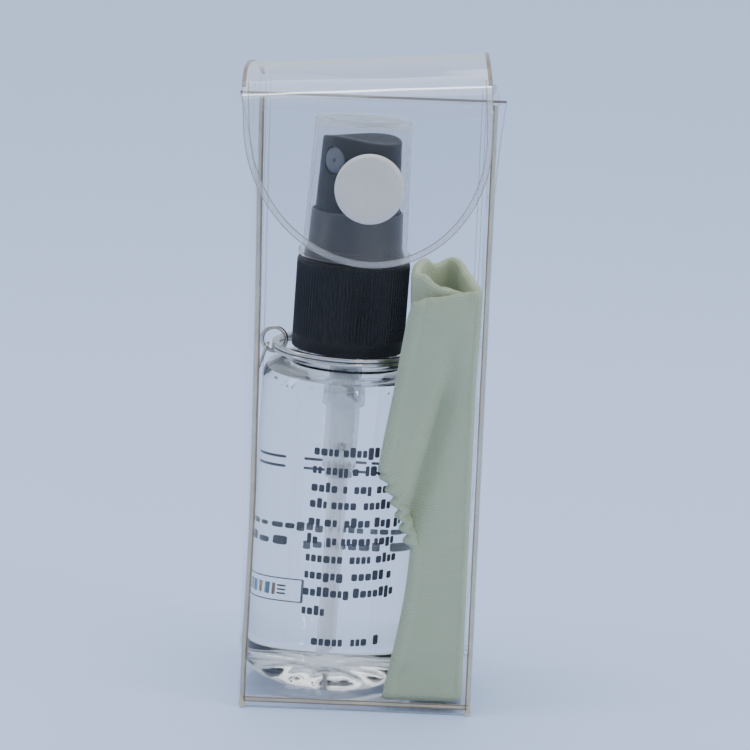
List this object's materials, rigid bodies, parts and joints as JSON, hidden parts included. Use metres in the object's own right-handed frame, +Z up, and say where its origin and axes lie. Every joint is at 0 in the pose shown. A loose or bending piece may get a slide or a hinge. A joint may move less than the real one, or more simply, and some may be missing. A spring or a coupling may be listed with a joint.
{
  "type": "lens cleaning spray kit",
  "caption": "Fine-mist lens spray bottle with overcap and key ring, standing with a folded cloth in a clear gusseted pouch whose flap closes with a press snap.",
  "frame": {"origin": "middle of the kit's footprint box, on the surface that the pouch stands on", "axes": "+Z up, -Y towards the front panel with the snap, +X to the right seen from the front"},
  "size_m": [0.047, 0.0396, 0.1218],
  "materials": {
    "film": "clear flexible vinyl film, glossy",
    "snap_plastic": "white moulded plastic, satin",
    "bottle_pet": "clear blown plastic, glossy",
    "liquid": "clear colourless liquid",
    "black_plastic": "black moulded plastic, satin, ribbed closure",
    "natural_plastic": "translucent natural polypropylene",
    "nozzle_plastic": "grey moulded plastic, satin",
    "seal": "soft white polyethylene",
    "steel": "bright nickel plate",
    "microfibre": "sage green suede-like microfibre knit"
  },
  "bodies": {
    "pouch": {"pouch_front": "film", "pouch_back": "film", "side_gusset_left": "film", "side_gusset_right": "film", "base_panel": "film", "snap_stud": "snap_plastic", "snap_inner_cap": "snap_plastic"},
    "flap": {"flap_fold": "film", "flap_front": "film", "snap_cap": "snap_plastic", "snap_socket": "snap_plastic"},
    "bottle_body": {"bottle": "bottle_pet", "cleaning_fluid": "liquid"},
    "key_ring": {"split_ring": "steel"},
    "hoop": {"jump_ring": "steel"},
    "link": {"chain_link": "steel"},
    "pump_unit": {"pump_collar": "black_plastic", "neck_gasket": "seal", "pump_housing": "natural_plastic", "dip_tube": "natural_plastic", "return_spring": "steel"},
    "inlet_ball": {"check_ball": "steel"},
    "closure": {"screw_closure": "black_plastic"},
    "press_head": {"actuator": "black_plastic", "nozzle_insert": "nozzle_plastic", "pump_stem": "natural_plastic", "piston": "seal"},
    "cap": {"overcap": "natural_plastic"},
    "cloth": {"cleaning_cloth": "microfibre"}
  },
  "joints": [
    {"name": "flap_open", "type": "hinge", "parent": "pouch", "child": "flap", "pos_m": [0, 0.01955, 0.11485], "axis": [-1, 0, 0], "range_deg": [0, 150], "deforming": ["flap_fold"]},
    {"name": "bottle_lift", "type": "slide", "parent": "pouch", "child": "bottle_body", "axis": [0, 0, 1], "range_m": [0, 0.122]},
    {"name": "cloth_lift", "type": "slide", "parent": "pouch", "child": "cloth", "axis": [0, 0, 1], "range_m": [0, 0.122]},
    {"name": "ring_turn", "type": "hinge", "parent": "bottle_body", "child": "key_ring", "pos_m": [-0.00581, 0.00325, 0.0026], "axis": [0.0373, 0, 0.9993], "range_deg": [-15, 15]},
    {"name": "jump_ring_swing", "type": "hinge", "parent": "key_ring", "child": "hoop", "pos_m": [-0.01699, 0.00325, 0.06621], "axis": [0, 1, 0], "range_deg": [-3, 5]},
    {"name": "chain_link_swing", "type": "hinge", "parent": "hoop", "child": "link", "pos_m": [-0.0188, 0.00325, 0.06507], "axis": [0.9436, 0, -0.3312], "range_deg": [-20, 20]},
    {"name": "pump_rise", "type": "slide", "parent": "bottle_body", "child": "pump_unit", "axis": [0.0373, 0, 0.9993], "range_m": [0, 0.0048]},
    {"name": "closure_turn", "type": "hinge", "parent": "pump_unit", "child": "closure", "pos_m": [-0.00581, 0.00325, 0.0026], "axis": [0.0373, 0, 0.9993], "range_deg": [0, 540]},
    {"name": "ball_lift", "type": "slide", "parent": "pump_unit", "child": "inlet_ball", "axis": [0.0373, 0, 0.9993], "range_m": [0, 0.0009]},
    {"name": "actuator_press", "type": "slide", "parent": "pump_unit", "child": "press_head", "axis": [-0.0373, 0, -0.9993], "range_m": [0, 0.0042], "stiffness_N_per_m": 600, "springref_m": -0.004, "deforming": ["return_spring"]},
    {"name": "overcap_pull", "type": "slide", "parent": "pump_unit", "child": "cap", "axis": [0.0373, 0, 0.9993], "range_m": [0, 0.042]}
  ],
  "couplings": [
    {"joint": "pump_rise", "follows": "closure_turn", "m_per_rad": 0.000505}
  ]
}
